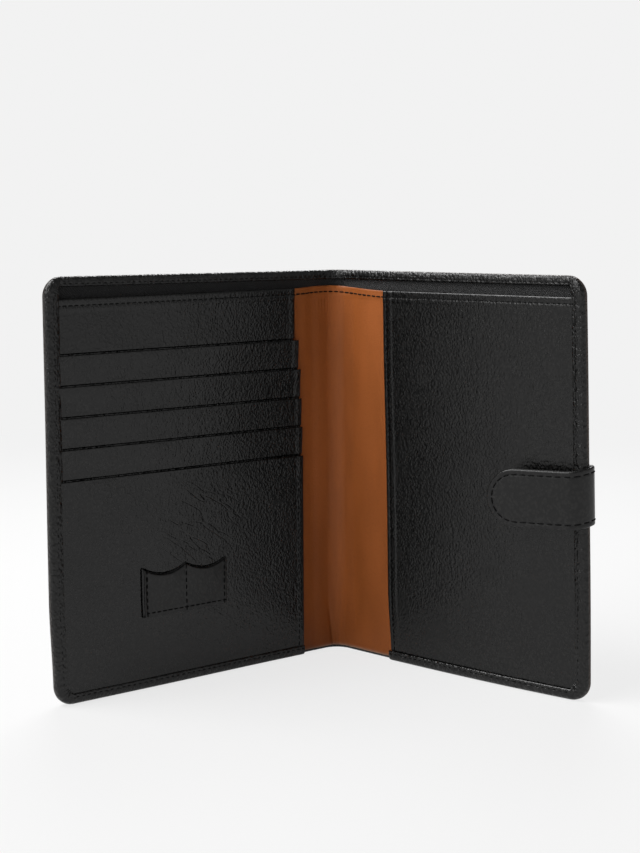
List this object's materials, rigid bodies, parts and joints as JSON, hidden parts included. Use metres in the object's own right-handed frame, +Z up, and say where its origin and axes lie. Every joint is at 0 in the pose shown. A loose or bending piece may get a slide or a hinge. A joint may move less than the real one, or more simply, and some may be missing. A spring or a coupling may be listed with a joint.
{
  "type": "passport holder wallet",
  "caption": "Bifold passport wallet of black leather with stepped card pockets, a passport panel, a tan spine strip and a rounded closing tab, standing open.",
  "frame": {"origin": "under the middle of the spine's outer leather, on the plane that the wallet stands on", "axes": "+Z up along the fold lines; the open side faces -Y; the front half, with the card pockets, runs towards -X and the back half, with the passport panel and the tab, towards +X"},
  "size_m": [0.18, 0.0723, 0.14],
  "materials": {
    "cover_leather": "fine pebbled grain, soft sheen",
    "black_leather": "fine pebbled grain, soft sheen",
    "tan_leather": "smooth, matt",
    "lining_cloth": "fine twill",
    "stiffener": "bonded leather board",
    "thread": "twisted polyester thread",
    "steel": "plated"
  },
  "bodies": {
    "spine": {"spine_cover": "cover_leather", "spine_turned_edge": "cover_leather", "spine_lining": "lining_cloth", "spine_strip": "tan_leather", "spine_strip_thread": "thread", "spine_edge_thread": "thread"},
    "front_half": {"front_cover": "cover_leather", "front_turned_edge": "cover_leather", "front_board": "stiffener", "front_lining": "lining_cloth", "front_edge_thread": "thread", "card_panel_lining": "lining_cloth", "card_panel": "black_leather", "card_pocket_lining": "lining_cloth", "card_pocket_1": "black_leather", "card_pocket_2": "black_leather", "card_pocket_3": "black_leather", "card_pocket_4": "black_leather", "card_pocket_5": "black_leather", "card_panel_thread": "thread", "chip_pocket_patch": "black_leather", "chip_pocket_thread": "thread", "magnet_keeper": "steel", "spine_strip_front": "tan_leather"},
    "back_half": {"back_cover": "cover_leather", "back_turned_edge": "cover_leather", "back_board": "stiffener", "back_lining": "lining_cloth", "back_edge_thread": "thread", "passport_panel_lining": "lining_cloth", "passport_panel": "black_leather", "passport_panel_thread": "thread", "spine_strip_back": "tan_leather", "spine_strip_back_thread": "thread", "tab_root": "black_leather", "tab_root_thread": "thread"},
    "tab_edge": {"tab_edge_bend": "black_leather"},
    "tab_reach": {"tab_reach_bend": "black_leather"},
    "tab_end": {"tab_top_leather": "black_leather", "tab_lining": "black_leather", "tab_magnet": "steel", "tab_thread": "thread"}
  },
  "joints": [
    {"name": "front_fold", "type": "hinge", "parent": "spine", "child": "front_half", "pos_m": [-0.00529, -0.00377, 0], "axis": [0, 0, 1], "range_deg": [0, 90]},
    {"name": "back_fold", "type": "hinge", "parent": "spine", "child": "back_half", "pos_m": [0.00529, 0.00377, 0], "axis": [0, 0, -1], "range_deg": [-75, 15]},
    {"name": "tab_root_fold", "type": "hinge", "parent": "back_half", "child": "tab_edge", "pos_m": [0.0881, -0.06274, 0.0675], "axis": [0, 0, 1], "range_deg": [0, 90]},
    {"name": "tab_edge_fold", "type": "hinge", "parent": "tab_edge", "child": "tab_reach", "pos_m": [0.08439, -0.06723, 0.0675], "axis": [0, 0, 1], "range_deg": [0, 85]},
    {"name": "tab_reach_fold", "type": "hinge", "parent": "tab_reach", "child": "tab_end", "pos_m": [0.07601, -0.06146, 0.0675], "axis": [0, 0, 1], "range_deg": [-90, 0]}
  ],
  "couplings": [
    {"joint": "tab_reach_fold", "follows": "tab_edge_fold", "ratio": -1.0588}
  ]
}
